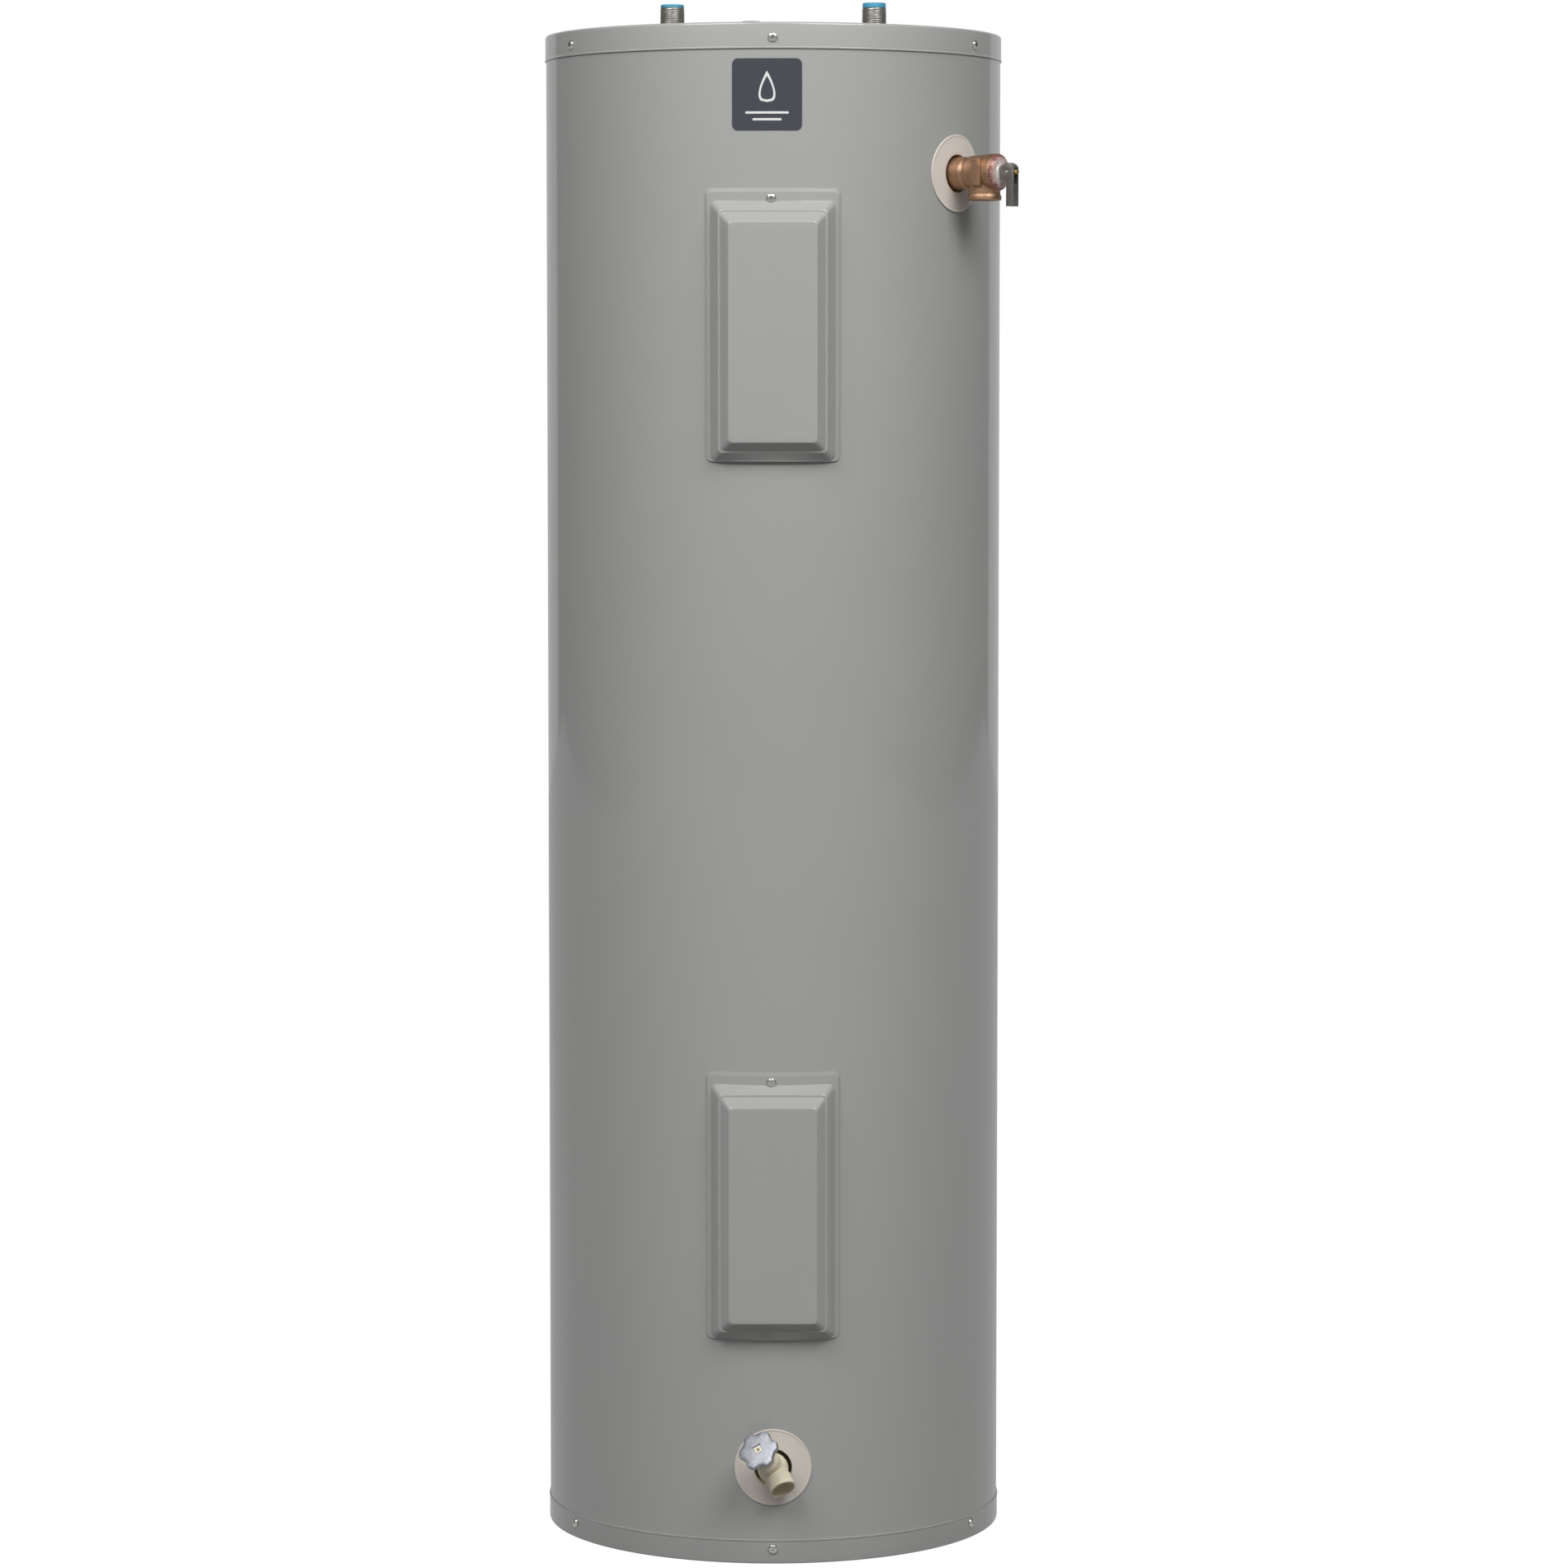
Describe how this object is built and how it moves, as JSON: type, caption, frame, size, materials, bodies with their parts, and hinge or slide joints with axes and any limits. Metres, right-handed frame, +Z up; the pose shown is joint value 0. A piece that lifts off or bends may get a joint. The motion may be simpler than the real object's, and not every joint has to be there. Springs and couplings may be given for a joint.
{
  "type": "tank water heater",
  "caption": "Upright cylindrical electric storage water heater with two access panels, relief valve with lever, drain valve with knob, and pipe nipples on top.",
  "frame": {"origin": "centre of the bottom pan's underside, on the floor", "axes": "+Z up the heater's axis, -Y towards the front with the access panels, +X to the right seen from the front"},
  "size_m": [0.4695, 0.515, 1.5394],
  "materials": {
    "jacket_paint": "baked enamel on sheet steel, slight orange peel",
    "zinc_steel": "zinc plated steel",
    "tank_steel": "hot rolled steel, glass lined inside",
    "foam": "rigid polyurethane foam",
    "fibre": "glass fibre blanket",
    "badge_plate": "printed plastic plate",
    "pipe_steel": "threaded steel pipe",
    "liner": "blue moulded liner",
    "dip_plastic": "extruded plastic tube",
    "magnesium": "extruded magnesium rod",
    "cap_plastic": "moulded grey plastic",
    "galvanised": "galvanised sheet",
    "green_screw": "green dyed zinc plate",
    "wire": "insulated copper wire",
    "element": "plated steel head, copper sheath",
    "gasket": "moulded rubber ring",
    "phenolic": "black phenolic moulding",
    "dial": "white moulded dial",
    "reset_red": "red moulded button",
    "bronze": "cast and machined bronze",
    "cap_label": "white printed metal cap",
    "spring_steel": "coiled spring wire",
    "brass_rod": "turned brass",
    "rosette": "pale moulded plastic",
    "valve_plastic": "cream moulded plastic",
    "knob_metal": "die cast, bright"
  },
  "bodies": {
    "heater": {"jacket": "jacket_paint", "top_pan": "jacket_paint", "bottom_pan": "jacket_paint", "top_pan_screws": "zinc_steel", "bottom_pan_screws": "zinc_steel", "badge": "badge_plate", "tank_shell": "tank_steel", "tank_top_head": "tank_steel", "tank_bottom_head": "tank_steel", "tank_spuds": "tank_steel", "foam_wall": "foam", "foam_top": "foam", "base_insulation_ring": "fibre", "cold_nipple": "pipe_steel", "hot_nipple": "pipe_steel", "cold_nipple_liner": "liner", "hot_nipple_liner": "liner", "dip_tube": "dip_plastic", "anode_rod": "magnesium", "anode_plug": "zinc_steel", "anode_cap": "cap_plastic", "junction_box": "galvanised", "ground_screw": "green_screw", "supply_wires": "wire", "link_wires": "wire", "upper_element": "element", "lower_element": "element", "element_gaskets": "gasket", "upper_thermostat": "phenolic", "high_limit_control": "phenolic", "lower_thermostat": "phenolic", "upper_clip": "galvanised", "lower_clip": "galvanised", "terminal_screws": "brass_rod", "relief_body": "bronze", "relief_cap": "cap_label", "relief_spring": "spring_steel", "relief_escutcheon": "rosette", "drain_body": "valve_plastic", "drain_escutcheon": "rosette"},
    "upper_cover": {"upper_access_panel": "jacket_paint", "upper_panel_insulation": "fibre", "upper_panel_screw": "zinc_steel"},
    "lower_cover": {"lower_access_panel": "jacket_paint", "lower_panel_insulation": "fibre", "lower_panel_screw": "zinc_steel"},
    "wiring_cover": {"junction_cover": "jacket_paint", "junction_cover_screw": "zinc_steel"},
    "relief_plunger": {"relief_stem": "brass_rod", "relief_disc": "gasket", "relief_probe": "brass_rod"},
    "relief_handle": {"relief_lever": "zinc_steel", "relief_lever_pin": "zinc_steel"},
    "drain_plug": {"drain_washer": "gasket"},
    "drain_handle": {"drain_knob": "knob_metal", "drain_stem": "valve_plastic"},
    "upper_setting": {"upper_dial": "dial"},
    "lower_setting": {"lower_dial": "dial"},
    "reset": {"reset_button": "reset_red"}
  },
  "joints": [
    {"name": "upper_cover_pull", "type": "slide", "parent": "heater", "child": "upper_cover", "axis": [0, -1, 0], "range_m": [0, 0.15]},
    {"name": "lower_cover_pull", "type": "slide", "parent": "heater", "child": "lower_cover", "axis": [0, -1, 0], "range_m": [0, 0.15]},
    {"name": "wiring_cover_lift", "type": "slide", "parent": "heater", "child": "wiring_cover", "axis": [0, 0, 1], "range_m": [0, 0.06]},
    {"name": "relief_lift", "type": "slide", "parent": "heater", "child": "relief_plunger", "axis": [0.788, -0.6157, 0], "range_m": [0, 0.0031], "deforming": ["relief_spring"]},
    {"name": "relief_lever_turn", "type": "hinge", "parent": "relief_plunger", "child": "relief_handle", "pos_m": [0.2301, -0.17977, 1.363], "axis": [-0.6157, -0.788, 0], "range_deg": [0, 90], "stiffness_Nm_per_rad": 0.3},
    {"name": "drain_lift", "type": "slide", "parent": "heater", "child": "drain_plug", "axis": [-0.3116, -0.766, 0.5622], "range_m": [0, 0.00505]},
    {"name": "drain_knob_turn", "type": "hinge", "parent": "drain_plug", "child": "drain_handle", "pos_m": [-0.01387, -0.26869, 0.12102], "axis": [-0.3116, -0.766, 0.5622], "range_deg": [0, 720]},
    {"name": "upper_dial_turn", "type": "hinge", "parent": "heater", "child": "upper_setting", "pos_m": [-0.009, -0.2247, 1.1975], "axis": [0, -1, 0], "range_deg": [-135, 135]},
    {"name": "lower_dial_turn", "type": "hinge", "parent": "heater", "child": "lower_setting", "pos_m": [-0.009, -0.2247, 0.3385], "axis": [0, -1, 0], "range_deg": [-135, 135]},
    {"name": "reset_press", "type": "slide", "parent": "heater", "child": "reset", "axis": [0, 1, 0], "range_m": [0, 0.0015], "stiffness_N_per_m": 300}
  ],
  "couplings": [
    {"joint": "relief_lift", "follows": "relief_lever_turn", "m_per_rad": 0.0019099},
    {"joint": "drain_lift", "follows": "drain_knob_turn", "m_per_rad": 0.00039789}
  ]
}
